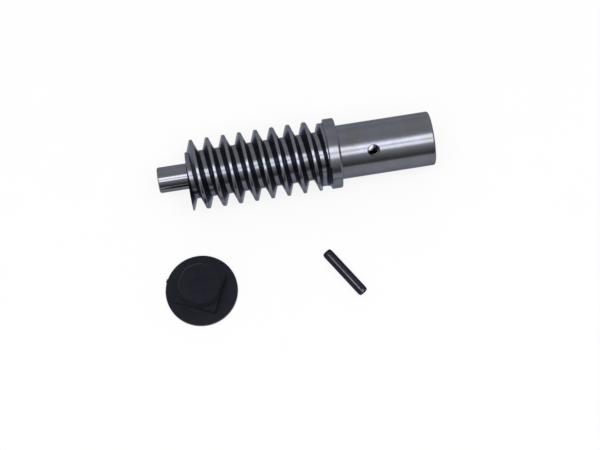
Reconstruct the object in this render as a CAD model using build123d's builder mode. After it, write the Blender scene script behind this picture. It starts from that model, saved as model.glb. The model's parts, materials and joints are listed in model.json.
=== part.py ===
"""Worm gear service set: worm, spring pin and end bearing, laid out on a bench.

The worm lies along X on its thread and collar. The end bearing stands on its flange and the
spring pin lies on its side, both on the -Y side of the worm. +Z is up and the origin is the
centre of the whole set's footprint, on the bench. All sizes are in millimetres.
"""
from build123d import *
from math import cos, pi, radians, sin, tan
import os

# ---- Worm thread: one start, right-handed ----
MODULE = 3.0
PRESSURE_ANGLE = 20.0
THREAD_RADIUS = 20.5
THREAD_DEPTH = 2.25 * MODULE
ROOT_RADIUS = THREAD_RADIUS - THREAD_DEPTH
AXIAL_PITCH = pi * MODULE
FLANK = tan(radians(PRESSURE_ANGLE))
CREST_WIDTH = 1.7
CREST_CHAMFER = 0.25
ROOT_FLARE = 0.4
THREAD_EMBED = 0.4
THREAD_START = 4.63
THREAD_TURNS = 10
RUNOUT_FIRST_GROOVE = 8
RUNOUT_RELIEF = 0.05
RUNOUT_TURNS = 1.12
RUNOUT_LEVEL_ARC = 44.0
RUNOUT_CUTTER_RADIUS = 40.0
RUNOUT_CUTTER_ARC = 45.0

# ---- Worm body, from the nose end to the sleeve end ----
NOSE_RADIUS = 7.5
NOSE_LENGTH = 17.4
NOSE_CHAMFER = 0.6
THREADED_LENGTH = 81.1
NECK_RADIUS = 18.5
NECK_LENGTH = 5.0
COLLAR_LENGTH = 6.5
COLLAR_CHAMFER = 0.6
SLEEVE_RADIUS = 15.75
SLEEVE_LENGTH = 55.0
SLEEVE_END_ROUND = 1.1
SLEEVE_ROOT_ROUND = 0.8
BORE_RADIUS = 10.0
BORE_DEPTH = 50.0
BORE_CHAMFER = 1.0
DRILL_POINT_ANGLE = 118.0

# ---- Cross hole through the sleeve, for the spring pin ----
CROSS_HOLE_RADIUS = 3.0
CROSS_HOLE_RIM_RADIUS = 3.6
CROSS_HOLE_FROM_COLLAR = 19.5
CROSS_HOLE_TILT = 27.8

# ---- Slotted spring pin ----
PIN_RADIUS = 3.0
PIN_LENGTH = 32.0
PIN_WALL = 1.2
PIN_SLOT = 1.0
PIN_SLOT_DIP = 10.0
PIN_CHAMFER_LENGTH = 1.4
PIN_CHAMFER_DEPTH = 0.35

# ---- End bearing: flange, square boss and round crown ----
FLANGE_RADIUS = 20.85
FLANGE_THICKNESS = 3.0
FLANGE_EDGE = 0.4
BOSS_WIDTH = 23.6
BOSS_HEIGHT = 5.5
CROWN_RADIUS = 12.2
CROWN_HEIGHT = 7.5
CROWN_EDGE = 0.4
BOSS_CORNER_ROUND = 0.5
JOURNAL_BORE_RADIUS = NOSE_RADIUS + 0.05
JOURNAL_BORE_DEPTH = 12.0
JOURNAL_BORE_CHAMFER = 0.6
GATE_WIDTH = 2.2
GATE_PROUD = 0.5
GATE_HEIGHT = 1.6
GATE_ANGLE = 155.0
PIP_RADIUS = 1.1
PIP_HEIGHT = 0.4
PIP_PITCH = 4.2
PIP_OFFSET = -3.4

# ---- Layout of the three pieces, measured from the worm's nose end and axis ----
BEARING_FROM_NOSE = 14.9
BEARING_FROM_AXIS = 64.0
BEARING_TURN = -24.3
PIN_FROM_NOSE = 98.1
PIN_FROM_AXIS = 66.9
PIN_TURN = -57.8

WORM_LENGTH = NOSE_LENGTH + THREADED_LENGTH + COLLAR_LENGTH + SLEEVE_LENGTH
LOWEST_X = BEARING_FROM_NOSE - FLANGE_RADIUS
LOWEST_Y = -(BEARING_FROM_AXIS + FLANGE_RADIUS)
NOSE_X = -(LOWEST_X + WORM_LENGTH) / 2
AXIS_Y = -(LOWEST_Y + THREAD_RADIUS) / 2

# Stations along the worm, from the nose end.
THREAD_END = NOSE_LENGTH + THREADED_LENGTH
COLLAR_END = THREAD_END + COLLAR_LENGTH
NECK_START = THREAD_END - NECK_LENGTH

WORM_ORIGIN = Vector(NOSE_X, AXIS_Y, THREAD_RADIUS)
WORM_AXIS = Axis(WORM_ORIGIN, (1, 0, 0))
WORM_PLANE = Plane(origin=WORM_ORIGIN, x_dir=(1, 0, 0), z_dir=(0, -1, 0))
SHOULDER_PLANE = Plane(origin=WORM_ORIGIN + Vector(NOSE_LENGTH, 0, 0), z_dir=(1, 0, 0))
BEARING_PLANE = Plane(
    origin=(NOSE_X + BEARING_FROM_NOSE, AXIS_Y - BEARING_FROM_AXIS, 0),
    x_dir=(cos(radians(BEARING_TURN)), sin(radians(BEARING_TURN)), 0),
    z_dir=(0, 0, 1),
)


def section_sketch(plane, right_side):
    """Symmetrical axial section from its right-hand outline, in (across, radius) points."""
    left_side = [(-across, radius) for across, radius in reversed(right_side)]
    with BuildSketch(plane) as section:
        with BuildLine():
            Polyline(*right_side, *left_side, close=True)
        make_face()
    return section.sketch


def thread_section(plane):
    """Axial section of the thread, with its base sunk a little into the worm's core."""
    root_half = CREST_WIDTH / 2 + THREAD_DEPTH * FLANK
    right_side = [
        (root_half + ROOT_FLARE + THREAD_EMBED, ROOT_RADIUS - THREAD_EMBED),
        (root_half - ROOT_FLARE * FLANK, ROOT_RADIUS + ROOT_FLARE),
        (CREST_WIDTH / 2 + CREST_CHAMFER * FLANK, THREAD_RADIUS - CREST_CHAMFER),
        (CREST_WIDTH / 2 - CREST_CHAMFER, THREAD_RADIUS),
    ]
    return section_sketch(plane, right_side)


def groove_section(plane):
    """Axial section of the run-out groove: the gap between two turns of the thread, relieved all round."""
    rim_half = (AXIAL_PITCH - CREST_WIDTH) / 2 + RUNOUT_RELIEF
    root_half = rim_half - THREAD_DEPTH * FLANK
    right_side = [
        (root_half - ROOT_FLARE, ROOT_RADIUS - RUNOUT_RELIEF),
        (root_half + ROOT_FLARE * FLANK, ROOT_RADIUS + ROOT_FLARE),
        (rim_half, THREAD_RADIUS),
    ]
    return section_sketch(plane, right_side)


def axial_plane(start):
    """Upright plane through the worm's axis, with its origin at start."""
    return Plane(origin=start, x_dir=(1, 0, 0), z_dir=(0, -1, 0))


def helix_path(start, turns):
    """Helix at the thread's root. It starts straight above the worm's axis."""
    with BuildLine() as path:
        Helix(AXIAL_PITCH, turns * AXIAL_PITCH, ROOT_RADIUS, center=start, direction=(1, 0, 0))
    return path.line


def runout_plane(start, turned):
    """Axial plane where the feed stops, turned further round the axis, with local Y outwards."""
    angle = radians(90 + 360 * RUNOUT_TURNS + turned)
    along = Vector(1, 0, 0)
    outward = Vector(0, cos(angle), sin(angle))
    return Plane(
        origin=start + along * (RUNOUT_TURNS * AXIAL_PITCH),
        x_dir=along,
        z_dir=along.cross(outward),
    )


# ---- Thread, cut off square at the shoulder and at the neck ----
thread_start = WORM_ORIGIN + Vector(THREAD_START, 0, 0)
with BuildPart() as thread:
    sweep(
        thread_section(axial_plane(thread_start)),
        path=helix_path(thread_start, THREAD_TURNS),
        is_frenet=True,
    )
    with BuildSketch(SHOULDER_PLANE):
        Circle(THREAD_RADIUS + MODULE)
    extrude(amount=NECK_START - NOSE_LENGTH, mode=Mode.INTERSECT)

# ---- Neck, with the last turn of the groove cut into it ----
groove_start = thread_start + Vector((RUNOUT_FIRST_GROOVE + 0.5) * AXIAL_PITCH, 0, 0)
with BuildPart() as neck:
    with BuildSketch(SHOULDER_PLANE.offset(NECK_START - NOSE_LENGTH)):
        Circle(NECK_RADIUS)
    extrude(amount=NECK_LENGTH)
    sweep(
        groove_section(axial_plane(groove_start)),
        path=helix_path(groove_start, RUNOUT_TURNS),
        is_frenet=True,
        mode=Mode.SUBTRACT,
    )

# ---- End of the groove: the feed stops, the cutter runs level round the neck, then lifts out ----
level_plane = runout_plane(groove_start, 0)
lift_plane = runout_plane(groove_start, RUNOUT_LEVEL_ARC)
cutter_centre = lift_plane.from_local_coords((0, ROOT_RADIUS + RUNOUT_CUTTER_RADIUS, 0))
with BuildPart() as runout:
    revolve(
        groove_section(level_plane),
        axis=Axis(WORM_ORIGIN, (1, 0, 0)),
        revolution_arc=RUNOUT_LEVEL_ARC,
    )
    revolve(
        groove_section(lift_plane),
        axis=Axis(cutter_centre, (-1, 0, 0)),
        revolution_arc=RUNOUT_CUTTER_ARC,
    )

# ---- Worm ----
with BuildPart() as worm:
    with BuildSketch(WORM_PLANE):
        with BuildLine():
            Polyline(
                (0, 0),
                (0, NOSE_RADIUS - NOSE_CHAMFER),
                (NOSE_CHAMFER, NOSE_RADIUS),
                (NOSE_LENGTH, NOSE_RADIUS),
                (NOSE_LENGTH, ROOT_RADIUS),
                (THREAD_END, ROOT_RADIUS),
                (THREAD_END, THREAD_RADIUS - COLLAR_CHAMFER),
                (THREAD_END + COLLAR_CHAMFER, THREAD_RADIUS),
                (COLLAR_END - COLLAR_CHAMFER, THREAD_RADIUS),
                (COLLAR_END, THREAD_RADIUS - COLLAR_CHAMFER),
                (COLLAR_END, SLEEVE_RADIUS + SLEEVE_ROOT_ROUND),
            )
            RadiusArc(
                (COLLAR_END, SLEEVE_RADIUS + SLEEVE_ROOT_ROUND),
                (COLLAR_END + SLEEVE_ROOT_ROUND, SLEEVE_RADIUS),
                SLEEVE_ROOT_ROUND,
            )
            Line(
                (COLLAR_END + SLEEVE_ROOT_ROUND, SLEEVE_RADIUS),
                (WORM_LENGTH - SLEEVE_END_ROUND, SLEEVE_RADIUS),
            )
            RadiusArc(
                (WORM_LENGTH - SLEEVE_END_ROUND, SLEEVE_RADIUS),
                (WORM_LENGTH, SLEEVE_RADIUS - SLEEVE_END_ROUND),
                SLEEVE_END_ROUND,
            )
            Polyline(
                (WORM_LENGTH, SLEEVE_RADIUS - SLEEVE_END_ROUND),
                (WORM_LENGTH, BORE_RADIUS + BORE_CHAMFER),
                (WORM_LENGTH - BORE_CHAMFER, BORE_RADIUS),
                (WORM_LENGTH - BORE_DEPTH, BORE_RADIUS),
                (WORM_LENGTH - BORE_DEPTH - BORE_RADIUS / tan(radians(DRILL_POINT_ANGLE / 2)), 0),
                (0, 0),
            )
        make_face()
    revolve(axis=WORM_AXIS)
    add(thread.part)
    add(neck.part)
    add(runout.part, mode=Mode.SUBTRACT)

    cross_tilt = radians(CROSS_HOLE_TILT)
    cross_out = Vector(0, -sin(cross_tilt), cos(cross_tilt))
    cross_centre = WORM_ORIGIN + Vector(COLLAR_END + CROSS_HOLE_FROM_COLLAR, 0, 0)
    for outward in (cross_out, -cross_out):
        with Locations(Plane(origin=cross_centre + outward * SLEEVE_RADIUS, z_dir=outward)):
            CounterSinkHole(CROSS_HOLE_RADIUS, CROSS_HOLE_RIM_RADIUS, depth=SLEEVE_RADIUS)
worm.part.label = "worm"

# ---- Spring pin: a rolled tube with its slot on its back side, a little below level ----
pin_direction = Vector(cos(radians(PIN_TURN)), sin(radians(PIN_TURN)), 0)
pin_centre = Vector(NOSE_X + PIN_FROM_NOSE, AXIS_Y - PIN_FROM_AXIS, PIN_RADIUS)
pin_back = Vector(0, 0, 1).cross(pin_direction)
slot_dip = radians(PIN_SLOT_DIP)
slot_out = pin_back * cos(slot_dip) - Vector(0, 0, sin(slot_dip))
pin_section_plane = Plane(origin=pin_centre, x_dir=pin_direction, z_dir=-pin_back)
with BuildPart() as spring_pin:
    with BuildSketch(pin_section_plane):
        with BuildLine():
            half_length = PIN_LENGTH / 2
            Polyline(
                (-half_length, PIN_RADIUS - PIN_WALL),
                (-half_length, PIN_RADIUS - PIN_CHAMFER_DEPTH),
                (-half_length + PIN_CHAMFER_LENGTH, PIN_RADIUS),
                (half_length - PIN_CHAMFER_LENGTH, PIN_RADIUS),
                (half_length, PIN_RADIUS - PIN_CHAMFER_DEPTH),
                (half_length, PIN_RADIUS - PIN_WALL),
                close=True,
            )
        make_face()
    revolve(axis=Axis(pin_centre, pin_direction))
    with BuildSketch(Plane(origin=pin_centre, x_dir=pin_direction, z_dir=slot_out)):
        Rectangle(PIN_LENGTH, PIN_SLOT)
    extrude(amount=PIN_RADIUS, mode=Mode.SUBTRACT)
spring_pin.part.label = "spring_pin"

# ---- End bearing ----
with BuildPart() as end_bearing:
    with BuildSketch(BEARING_PLANE):
        Circle(FLANGE_RADIUS)
    extrude(amount=FLANGE_THICKNESS)
    chamfer(end_bearing.edges().filter_by(GeomType.CIRCLE), FLANGE_EDGE)

    with BuildSketch(BEARING_PLANE.offset(FLANGE_THICKNESS)):
        Rectangle(BOSS_WIDTH, BOSS_WIDTH)
    extrude(amount=BOSS_HEIGHT)
    fillet(
        end_bearing.edges().filter_by(Axis.Z).filter_by(GeomType.LINE),
        BOSS_CORNER_ROUND,
    )

    crown_base = FLANGE_THICKNESS + BOSS_HEIGHT
    with BuildSketch(BEARING_PLANE.offset(crown_base)):
        Circle(CROWN_RADIUS)
        Rectangle(BOSS_WIDTH, BOSS_WIDTH, mode=Mode.INTERSECT)
    extrude(amount=CROWN_HEIGHT - CROWN_EDGE)
    extrude(end_bearing.faces().sort_by(Axis.Z)[-1], amount=CROWN_EDGE, taper=45)

    crown_top = crown_base + CROWN_HEIGHT
    with BuildSketch(BEARING_PLANE.offset(crown_top)):
        with Locations((PIP_OFFSET, 0)):
            with GridLocations(PIP_PITCH, PIP_PITCH, 1, 4):
                Circle(PIP_RADIUS)
    extrude(amount=PIP_HEIGHT)

    gate_plane = BEARING_PLANE.rotated((0, 0, GATE_ANGLE - BEARING_TURN))
    with BuildSketch(gate_plane.offset((FLANGE_THICKNESS - GATE_HEIGHT) / 2)):
        with Locations((FLANGE_RADIUS - GATE_WIDTH / 2 + GATE_PROUD, 0)):
            Rectangle(GATE_WIDTH, GATE_WIDTH)
    extrude(amount=GATE_HEIGHT)

    with BuildSketch(BEARING_PLANE):
        Circle(JOURNAL_BORE_RADIUS)
    extrude(amount=JOURNAL_BORE_DEPTH, mode=Mode.SUBTRACT)
    bore_mouth = end_bearing.edges().filter_by(GeomType.CIRCLE).group_by(Axis.Z)[0].sort_by(SortBy.RADIUS)[0]
    chamfer(bore_mouth, JOURNAL_BORE_CHAMFER)
end_bearing.part.label = "end_bearing"

os.makedirs("parts", exist_ok=True)
for piece in (worm, spring_pin, end_bearing):
    export_step(piece.part, f"parts/{piece.part.label}.step")
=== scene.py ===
"""Worm gear service set: finishes, bench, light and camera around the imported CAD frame.

Everything is in metres, in the frame of the CAD model: the worm lies along X, +Z is up and the
bench is at Z = 0. Each finish is made of nodes in object space, so it moves with its part.
"""

import json
from math import cos, pi, radians, sin

import bpy
from mathutils import Matrix, Vector


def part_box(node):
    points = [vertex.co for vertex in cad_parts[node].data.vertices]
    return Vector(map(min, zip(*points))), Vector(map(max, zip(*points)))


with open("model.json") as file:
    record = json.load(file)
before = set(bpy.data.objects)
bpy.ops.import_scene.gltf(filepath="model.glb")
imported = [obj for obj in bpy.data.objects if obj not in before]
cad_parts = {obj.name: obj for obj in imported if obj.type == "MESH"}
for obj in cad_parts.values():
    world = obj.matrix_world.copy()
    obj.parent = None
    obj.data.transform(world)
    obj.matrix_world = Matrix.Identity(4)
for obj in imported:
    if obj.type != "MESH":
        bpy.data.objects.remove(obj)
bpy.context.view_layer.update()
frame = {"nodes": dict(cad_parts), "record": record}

# ---- Sizes the finishes follow, in metres ----
MM = 0.001
NOSE_LENGTH = 17.4 * MM
NECK_START = 93.5 * MM
ROOT_RADIUS = 13.75 * MM
CREST_RADIUS = 20.5 * MM
THREAD_PITCH = 3 * pi * MM
PIN_RADIUS = 3.0 * MM
PIN_HALF_LENGTH = 16.0 * MM
FLANGE_RADIUS = 20.85 * MM
FLANGE_TOP = 3.0 * MM
CROWN_TOP = 16.0 * MM

# ---- Worm steel: levels of grey, from dark to light, and how it takes the light ----
STEEL_OILY = 0.105
STEEL_STREAK = 0.115
STEEL_PATINA = 0.138
STEEL_CLEAN_DARK = 0.146
STEEL_CLEAN_LIGHT = 0.158
STEEL_RUBBED = 0.165
STEEL_SCRATCH = 0.21
STEEL_EDGE_TINT = (0.45, 0.48, 0.54, 1)
STEEL_ROUGHNESS = 0.24
NOSE_POLISH = 0.08
LEAST_ROUGHNESS = 0.05
STEEL_RELIEF = 0.004 * MM
STEEL_STRETCH = 0.5
QUARTER_TURN = 0.25
MARKS_PER_METRE = 3600.0
MARKS_ROUND_HELIX = 5.0
FINISH_SEAM = 0.05 * MM
OILY_HEIGHT = 1.4 * MM
RUBBED_DEPTH = 0.3 * MM

# ---- Pin: black oxide ----
OXIDE_DARK = (0.026, 0.027, 0.040, 1)
OXIDE_LIGHT = (0.036, 0.035, 0.050, 1)
OXIDE_STREAK = (0.050, 0.050, 0.064, 1)
# The next colour and the band sizes after it paint a highlight: a lighter band along the top of
# the pin, where the light's reflection falls.
OXIDE_PAINTED_HIGHLIGHT = (0.085, 0.083, 0.100, 1)
OXIDE_WORN = (0.10, 0.10, 0.115, 1)
OXIDE_EDGE_TINT = (0.35, 0.36, 0.45, 1)
OXIDE_ROUGHNESS = 0.11
OXIDE_RELIEF = 0.003 * MM
PAINTED_HIGHLIGHT_FROM = -0.36 * PIN_RADIUS
PAINTED_HIGHLIGHT_TO = -0.06 * PIN_RADIUS
PAINTED_HIGHLIGHT_EDGE = 0.10 * PIN_RADIUS
PAINTED_HIGHLIGHT_FULL = PIN_HALF_LENGTH - 3.0 * MM
PAINTED_HIGHLIGHT_GONE = PIN_HALF_LENGTH - 1.5 * MM
DRAWING_MARKS_ALONG = 160.0
DRAWING_MARKS_ACROSS = 5200.0

# ---- End bearing: black polymer ----
POLYMER_DARK = (0.0014, 0.0016, 0.0036, 1)
POLYMER_LIGHT = (0.0026, 0.0024, 0.0056, 1)
POLYMER_RUBBED = (0.008, 0.009, 0.016, 1)
POLYMER_SCUFF = (0.012, 0.013, 0.020, 1)
POLYMER_DUST = (0.04, 0.04, 0.05, 1)
POLYMER_TINT = (0.74, 0.81, 1.0, 1)
POLYMER_SPECULAR = 0.21
POLYMER_ROUGHNESS = 0.31
POLYMER_RELIEF = 0.007 * MM

# ---- Bench ----
BENCH_HALF = 3.0
BENCH_HEIGHT = -0.02 * MM
BENCH_DARK = (0.10, 0.10, 0.10, 1)
BENCH_LIGHT = (0.11, 0.11, 0.11, 1)
BENCH_GLOW = 0.84
WHITE = (1, 1, 1, 1)

# ---- Camera ----
LENS_MM = 79.8
SENSOR_MM = 36
CLIP_NEAR = 0.01
CLIP_FAR = 20
CAMERA_PLACE = Vector((-0.02265, -0.2489, 0.7393))
CAMERA_AZIMUTH = radians(-5.23)
CAMERA_ELEVATION = radians(71.4)
CAMERA_ROLL = radians(4.0)

# ---- Light, with directions as degrees from straight up towards the front of the bench ----
LIGHT_DISTANCE = 1.4
LIGHT_LENGTH = 1.6
MAIN_LIGHT = {"centre": 11.0, "spread": 17.0, "radiance": 5.3}
SECOND_LIGHT = {"centre": 31.0, "spread": 13.0, "radiance": 4.9}
ROOM_LEVELS = [
    (-90, 0.72),
    (-55, 0.90),
    (-22, 0.78),
    (38, 0.98),
    (45, 0.92),
    (52, 0.72),
    (65, 0.42),
    (76, 0.22),
    (84, 0.10),
    (90, 0.08),
]
SIDE_LEVEL = 0.75
SIDE_FADE_START = 0.25
SIDE_FADE_END = 0.85
PALE = (0.90, 0.90, 0.90, 1)


class Graph:
    """A node tree, with short calls for the nodes used here."""

    def __init__(self, tree):
        self.tree = tree
        self.tree.nodes.clear()

    def set(self, socket, value):
        if isinstance(value, bpy.types.NodeSocket):
            self.tree.links.new(value, socket)
        else:
            socket.default_value = value

    def node(self, kind, inputs, **settings):
        made = self.tree.nodes.new(kind)
        for name, value in settings.items():
            setattr(made, name, value)
        for key, value in inputs.items():
            self.set(made.inputs[key], value)
        return made

    def math(self, operation, first, second=0.0):
        made = self.node("ShaderNodeMath", {0: first, 1: second}, operation=operation)
        return made.outputs[0]

    def add(self, first, second):
        return self.math("ADD", first, second)

    def times(self, first, second):
        return self.math("MULTIPLY", first, second)

    def vary(self, base, pattern, amount):
        """base, moved up and down by a pattern that runs from 0 to 1."""
        return self.add(base, self.times(self.math("SUBTRACT", pattern, 0.5), amount))

    def smooth(self, value, low, high, to_low=0.0, to_high=1.0):
        """to_low where value is low, to_high where it is high, and a smooth step between."""
        inputs = {
            "Value": value,
            "From Min": low,
            "From Max": high,
            "To Min": to_low,
            "To Max": to_high,
        }
        made = self.node("ShaderNodeMapRange", inputs, interpolation_type="SMOOTHSTEP")
        return made.outputs["Result"]

    def between(self, value, low, high, edge):
        """1 where value is between low and high, 0 outside, with soft edges."""
        rise = self.smooth(value, low - edge, low + edge)
        fall = self.smooth(value, high - edge, high + edge, 1.0, 0.0)
        return self.times(rise, fall)

    def vector(self, operation, first, second=(0.0, 0.0, 0.0)):
        """The vector an operation gives, or the number if it is a length or a dot product."""
        made = self.node("ShaderNodeVectorMath", {0: first, 1: second}, operation=operation)
        gives_number = operation in ("LENGTH", "DOT_PRODUCT")
        return made.outputs["Value" if gives_number else "Vector"]

    def combine(self, x, y, z):
        return self.node("ShaderNodeCombineXYZ", {0: x, 1: y, 2: z}).outputs[0]

    def split(self, vector):
        return self.node("ShaderNodeSeparateXYZ", {0: vector}).outputs

    def place(self, origin):
        """The shaded point, measured in object space from origin."""
        found = self.node("ShaderNodeTexCoord", {}).outputs["Object"]
        return self.vector("SUBTRACT", found, tuple(origin))

    def noise(self, vector, scale, detail, roughness):
        inputs = {"Vector": vector, "Scale": scale, "Detail": detail, "Roughness": roughness}
        return self.node("ShaderNodeTexNoise", inputs).outputs["Fac"]

    def blend(self, factor, first, second):
        """The first colour where factor is 0, the second where it is 1."""
        made = self.node("ShaderNodeMix", {}, data_type="RGBA")
        self.set(made.inputs[0], factor)
        self.set(made.inputs[6], first)
        self.set(made.inputs[7], second)
        return made.outputs[2]

    def blend_vector(self, factor, first, second):
        """The first vector where factor is 0, the second where it is 1."""
        made = self.node("ShaderNodeMix", {}, data_type="VECTOR")
        self.set(made.inputs[0], factor)
        self.set(made.inputs[4], first)
        self.set(made.inputs[5], second)
        return made.outputs[1]

    def bump(self, height, distance):
        inputs = {"Height": height, "Distance": distance, "Strength": 1.0}
        return self.node("ShaderNodeBump", inputs).outputs["Normal"]


SOCKETS = {
    "color": "Base Color",
    "specular": "Specular IOR Level",
    "tint": "Specular Tint",
    "glow": "Emission Strength",
    "glow_color": "Emission Color",
    "stretch": "Anisotropic",
    "stretch_turn": "Anisotropic Rotation",
}


class Finish(Graph):
    """One material, ending in a Principled shader."""

    def __init__(self, name):
        self.material = bpy.data.materials.new(name)
        self.material.use_nodes = True
        super().__init__(self.material.node_tree)

    def surface(self, **inputs):
        """The finished material. Each input is named as in SOCKETS, or as its own socket."""
        named = {SOCKETS.get(key, key.title()): value for key, value in inputs.items()}
        shader = self.node("ShaderNodeBsdfPrincipled", named)
        self.node("ShaderNodeOutputMaterial", {"Surface": shader.outputs["BSDF"]})
        return self.material


def grey(level, blue=1.0):
    """A neutral colour, cooled by a share blue of the steel's own faint blue."""
    return (level * (1 - 0.04 * blue), level, level * (1 + 0.22 * blue), 1)


def mount(name):
    """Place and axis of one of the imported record's mounts."""
    for entry in frame["record"]["mounts"]:
        if entry["name"] == name:
            return Vector(entry["pos_m"]), Vector(entry["axis"]).normalized()
    raise LookupError(name)


def worm_finish():
    """Bare machined steel: a finer nose, a cut thread, and a turned neck, collar and sleeve."""
    f = Finish("worm_steel_turned")
    low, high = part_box("worm")
    axis_start = Vector((low.x, (low.y + high.y) / 2, (low.z + high.z) / 2))
    place = f.place(axis_start)
    along, side, up = f.split(place)[:3]
    radius = f.vector("LENGTH", f.combine(0.0, side, up))
    turn = f.math("ARCTAN2", up, side)

    is_thread = f.between(along, NOSE_LENGTH, NECK_START, FINISH_SEAM)
    is_nose = f.smooth(along, NOSE_LENGTH - FINISH_SEAM, NOSE_LENGTH + FINISH_SEAM, 1.0, 0.0)

    # Tool marks run round the turned lengths, and along the helix in the thread.
    phase = f.math("SUBTRACT", f.times(along, 2 * pi / THREAD_PITCH), turn)
    outwards = f.times(radius, MARKS_PER_METRE)
    around_helix = f.combine(
        f.times(f.math("COSINE", phase), MARKS_ROUND_HELIX),
        f.times(f.math("SINE", phase), MARKS_ROUND_HELIX),
        outwards,
    )
    around_axis = f.combine(f.times(along, MARKS_PER_METRE), outwards, 0.0)
    marks_at = f.blend_vector(is_thread, around_axis, around_helix)
    fine = f.noise(marks_at, 1.6, 4.0, 0.7)
    coarse = f.noise(marks_at, 0.22, 2.0, 0.6)
    blotches = f.noise(place, 75.0, 3.0, 0.55)
    smudges = f.noise(place, 420.0, 5.0, 0.65)
    scratches_at = f.vector("MULTIPLY", place, (260.0, 2400.0, 1900.0))
    scratches = f.smooth(f.noise(scratches_at, 1.0, 1.0, 0.4), 0.70, 0.78)

    banded = f.smooth(coarse, 0.25, 0.75)
    clean = f.blend(banded, grey(STEEL_CLEAN_DARK), grey(STEEL_CLEAN_LIGHT))
    patina = f.blend(f.smooth(blotches, 0.35, 0.7), clean, grey(STEEL_PATINA, 0.4))
    streaked = f.blend(f.smooth(fine, 0.60, 0.85, 0.0, 0.35), patina, grey(STEEL_STREAK))
    near_root = f.smooth(radius, ROOT_RADIUS, ROOT_RADIUS + OILY_HEIGHT, 1.0, 0.0)
    in_root = f.times(is_thread, near_root)
    oily = f.times(in_root, f.smooth(smudges, 0.25, 0.75, 0.1, 0.6))
    stained = f.blend(oily, streaked, grey(STEEL_OILY, 0.7))
    near_crest = f.smooth(radius, CREST_RADIUS - RUBBED_DEPTH, CREST_RADIUS)
    at_crest = f.times(is_thread, near_crest)
    worn = f.times(at_crest, f.smooth(smudges, 0.35, 0.65, 0.0, 0.6))
    rubbed = f.blend(worn, stained, grey(STEEL_RUBBED))
    color = f.blend(f.times(scratches, 0.3), rubbed, grey(STEEL_SCRATCH))

    base = f.add(STEEL_ROUGHNESS, f.times(is_nose, -NOSE_POLISH))
    varied = f.vary(f.vary(base, coarse, 0.05), smudges, 0.08)
    roughness = f.math("MAXIMUM", f.add(varied, f.times(oily, 0.05)), LEAST_ROUGHNESS)

    height = f.add(f.times(fine, 0.6), f.times(coarse, 0.6))
    height = f.add(height, f.times(scratches, -0.5))
    height = f.times(height, f.add(1.0, f.times(is_nose, -0.7)))
    tangent = f.node("ShaderNodeTangent", {}, direction_type="RADIAL", axis="X")
    return f.surface(
        color=color,
        metallic=1.0,
        roughness=roughness,
        tint=STEEL_EDGE_TINT,
        normal=f.bump(height, STEEL_RELIEF),
        stretch=STEEL_STRETCH,
        stretch_turn=QUARTER_TURN,
        tangent=tangent.outputs[0],
    )


def pin_finish():
    """Black oxide: drawing marks along the pin, a lighter band on top painted where the
    highlight falls, and worn end rims.
    """
    f = Finish("pin_black_oxide")
    centre, direction = mount("spring_pin_body")
    place = f.place(centre)
    across = Vector((0, 0, 1)).cross(direction)
    along = f.vector("DOT_PRODUCT", place, tuple(direction))
    side = f.vector("DOT_PRODUCT", place, tuple(across))
    up = f.split(place)[2]
    radius = f.vector("LENGTH", f.combine(0.0, side, up))

    marks_at = f.combine(
        f.times(along, DRAWING_MARKS_ALONG),
        f.times(side, DRAWING_MARKS_ACROSS),
        f.times(up, DRAWING_MARKS_ACROSS),
    )
    marks = f.noise(marks_at, 1.0, 3.0, 0.6)
    blotches = f.noise(place, 330.0, 4.0, 0.6)
    grain = f.noise(place, 3200.0, 3.0, 0.6)
    from_middle = f.math("ABSOLUTE", along)

    rim = f.smooth(from_middle, PIN_HALF_LENGTH - 0.5 * MM, PIN_HALF_LENGTH)
    outer = f.smooth(radius, PIN_RADIUS - 0.5 * MM, PIN_RADIUS - 0.3 * MM)
    worn = f.times(f.times(rim, outer), f.smooth(grain, 0.35, 0.65, 0.1, 0.6))
    # Painted highlight: a lighter oxide band along the top of the pin, placed where the light's
    # reflection falls so that it shows brighter.
    highlight_band = f.between(side, PAINTED_HIGHLIGHT_FROM, PAINTED_HIGHLIGHT_TO, PAINTED_HIGHLIGHT_EDGE)
    highlight_band_on_top = f.times(highlight_band, f.smooth(up, 0, PIN_RADIUS))
    short_of_ends = f.smooth(from_middle, PAINTED_HIGHLIGHT_FULL, PAINTED_HIGHLIGHT_GONE, 1.0, 0.0)
    patchy = f.smooth(blotches, 0.2, 0.6, 0.6, 1.0)
    painted_highlight = f.times(f.times(highlight_band_on_top, short_of_ends), patchy)

    oxide = f.blend(f.smooth(blotches, 0.35, 0.65), OXIDE_DARK, OXIDE_LIGHT)
    streaked = f.blend(f.smooth(marks, 0.55, 0.75, 0.0, 0.5), oxide, OXIDE_STREAK)
    with_painted_highlight = f.blend(painted_highlight, streaked, OXIDE_PAINTED_HIGHLIGHT)
    color = f.blend(worn, with_painted_highlight, OXIDE_WORN)
    height = f.add(marks, f.times(grain, 0.6))
    return f.surface(
        color=color,
        metallic=1.0,
        roughness=f.vary(OXIDE_ROUGHNESS, blotches, 0.08),
        tint=OXIDE_EDGE_TINT,
        normal=f.bump(height, OXIDE_RELIEF),
    )


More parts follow.
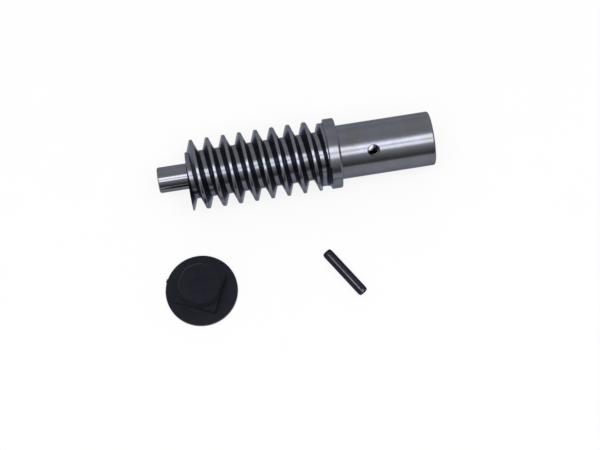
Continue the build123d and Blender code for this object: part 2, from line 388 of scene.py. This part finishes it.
def bearing_finish():
    """Black moulded polymer: a fine tool texture, flow marks, and edges rubbed a little grey."""
    f = Finish("bearing_black_polymer")
    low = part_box("end_bearing")[0]
    boss_centre = mount("square_boss")[0]
    place = f.place((boss_centre.x, boss_centre.y, low.z))
    side_x, side_y, up = f.split(place)[:3]
    radius = f.vector("LENGTH", f.combine(side_x, side_y, 0.0))

    texture = f.noise(place, 2100.0, 4.0, 0.6)
    flow_at = f.vector("MULTIPLY", place, (70.0, 190.0, 120.0))
    flow = f.noise(flow_at, 1.0, 3.0, 0.5)
    scuffs_at = f.vector("MULTIPLY", place, (1700.0, 240.0, 900.0))
    scuffs = f.smooth(f.noise(scuffs_at, 1.0, 2.0, 0.5), 0.66, 0.80)
    dust = f.smooth(f.noise(place, 900.0, 2.0, 0.4), 0.70, 0.76)
    rim = f.times(
        f.smooth(radius, FLANGE_RADIUS - 0.9 * MM, FLANGE_RADIUS - 0.1 * MM),
        f.smooth(up, FLANGE_TOP - 1.0 * MM, FLANGE_TOP),
    )
    top = f.smooth(up, CROWN_TOP - 0.25 * MM, CROWN_TOP - 0.05 * MM)

    body = f.blend(f.smooth(flow, 0.3, 0.7), POLYMER_DARK, POLYMER_LIGHT)
    rubbed_rim = f.times(rim, f.smooth(texture, 0.3, 0.7, 0.1, 0.6))
    rubbed = f.blend(rubbed_rim, body, POLYMER_RUBBED)
    scuffed = f.blend(f.times(scuffs, 0.4), rubbed, POLYMER_SCUFF)
    color = f.blend(f.times(dust, 0.25), scuffed, POLYMER_DUST)
    roughness = f.vary(POLYMER_ROUGHNESS, flow, 0.18)
    roughness = f.add(roughness, f.times(top, -0.04))
    roughness = f.add(roughness, f.times(scuffs, 0.12))
    height = f.add(texture, f.times(scuffs, -0.4))
    return f.surface(
        color=color,
        metallic=0.0,
        roughness=roughness,
        specular=POLYMER_SPECULAR,
        tint=POLYMER_TINT,
        normal=f.bump(height, POLYMER_RELIEF),
    )


def repaint(node, material):
    """Puts one material in every slot of a CAD node."""
    for slot in frame["nodes"][node].material_slots:
        slot.material = material


def add_bench():
    """A wide pale bench top, glowing like a light table, just under the parts."""
    half = BENCH_HALF
    corners = [(-half, -half, 0), (half, -half, 0), (half, half, 0), (-half, half, 0)]
    mesh = bpy.data.meshes.new("bench")
    mesh.from_pydata(corners, [], [(0, 1, 2, 3)])
    bench = bpy.data.objects.new("bench", mesh)
    bpy.context.scene.collection.objects.link(bench)
    f = Finish("bench_pale")
    mottle = f.noise(f.place((0, 0, 0)), 30.0, 3.0, 0.5)
    lit = f.surface(
        color=f.blend(mottle, BENCH_DARK, BENCH_LIGHT),
        roughness=0.8,
        specular=0.05,
        glow=BENCH_GLOW,
        glow_color=WHITE,
    )
    mesh.materials.append(lit)
    bench.location.z = BENCH_HEIGHT


def add_light(name, centre, spread, radiance):
    """A long softbox over the worm, parallel to it and facing it."""
    tilt = radians(centre)
    out = Vector((0, -sin(tilt), cos(tilt)))
    width = 2 * LIGHT_DISTANCE * sin(radians(spread / 2))
    data = bpy.data.lights.new(name, "AREA")
    data.shape = "RECTANGLE"
    data.size = LIGHT_LENGTH
    data.size_y = width
    data.energy = radiance * pi * LIGHT_LENGTH * width
    lamp = bpy.data.objects.new(name, data)
    low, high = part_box("worm")
    worm_top = Vector((0, (low.y + high.y) / 2, high.z))
    across = Vector((1, 0, 0))
    facing = Matrix((across, out.cross(across), out)).transposed().to_4x4()
    lamp.matrix_world = Matrix.Translation(worm_top + out * LIGHT_DISTANCE) @ facing
    bpy.context.scene.collection.objects.link(lamp)


def add_room():
    """Soft surroundings: even from behind and above, falling off to a dark front horizon."""
    world = bpy.data.worlds.new("room")
    bpy.context.scene.world = world
    world.use_nodes = True
    g = Graph(world.node_tree)
    direction = g.node("ShaderNodeTexCoord", {}).outputs["Generated"]
    sideways, forwards, up = g.split(direction)[:3]
    angle = g.math("ARCTAN2", g.times(forwards, -1.0), up)
    share = g.add(g.times(angle, 1 / pi), 0.5)
    ramp = g.node("ShaderNodeValToRGB", {0: share})
    stops = ramp.color_ramp.elements
    for index, (degrees, level) in enumerate(ROOM_LEVELS):
        position = (degrees + 90) / 180
        stop = stops[index] if index < 2 else stops.new(position)
        stop.position = position
        stop.color = (level, level, level, 1)
    seen = g.node("ShaderNodeLightPath", {}).outputs["Is Camera Ray"]
    color = g.blend(seen, ramp.outputs["Color"], PALE)
    off_centre = g.math("ABSOLUTE", sideways)
    beside = g.smooth(off_centre, SIDE_FADE_START, SIDE_FADE_END, 1.0, SIDE_LEVEL)
    inputs = {"Color": color, "Strength": g.math("MAXIMUM", beside, seen)}
    background = g.node("ShaderNodeBackground", inputs)
    g.node("ShaderNodeOutputWorld", {"Surface": background.outputs[0]})


def add_camera():
    """A long-lens camera above the front edge of the bench, rolled a little."""
    a, e, roll = CAMERA_AZIMUTH, CAMERA_ELEVATION, CAMERA_ROLL
    back = Vector((sin(a) * cos(e), -cos(a) * cos(e), sin(e)))
    level_right = Vector((cos(a), sin(a), 0))
    level_up = back.cross(level_right)
    right = level_right * cos(roll) - level_up * sin(roll)
    up = level_right * sin(roll) + level_up * cos(roll)
    data = bpy.data.cameras.new("camera")
    data.lens = LENS_MM
    data.sensor_width = SENSOR_MM
    data.clip_start = CLIP_NEAR
    data.clip_end = CLIP_FAR
    camera = bpy.data.objects.new("camera", data)
    facing = Matrix((right, up, back)).transposed().to_4x4()
    camera.matrix_world = Matrix.Translation(CAMERA_PLACE) @ facing
    bpy.context.scene.collection.objects.link(camera)
    bpy.context.scene.camera = camera


bpy.context.scene.view_settings.view_transform = "Standard"
add_camera()
add_bench()
add_light("softbox_main", **MAIN_LIGHT)
add_light("softbox_second", **SECOND_LIGHT)
add_room()
repaint("worm", worm_finish())
repaint("spring_pin", pin_finish())
repaint("end_bearing", bearing_finish())
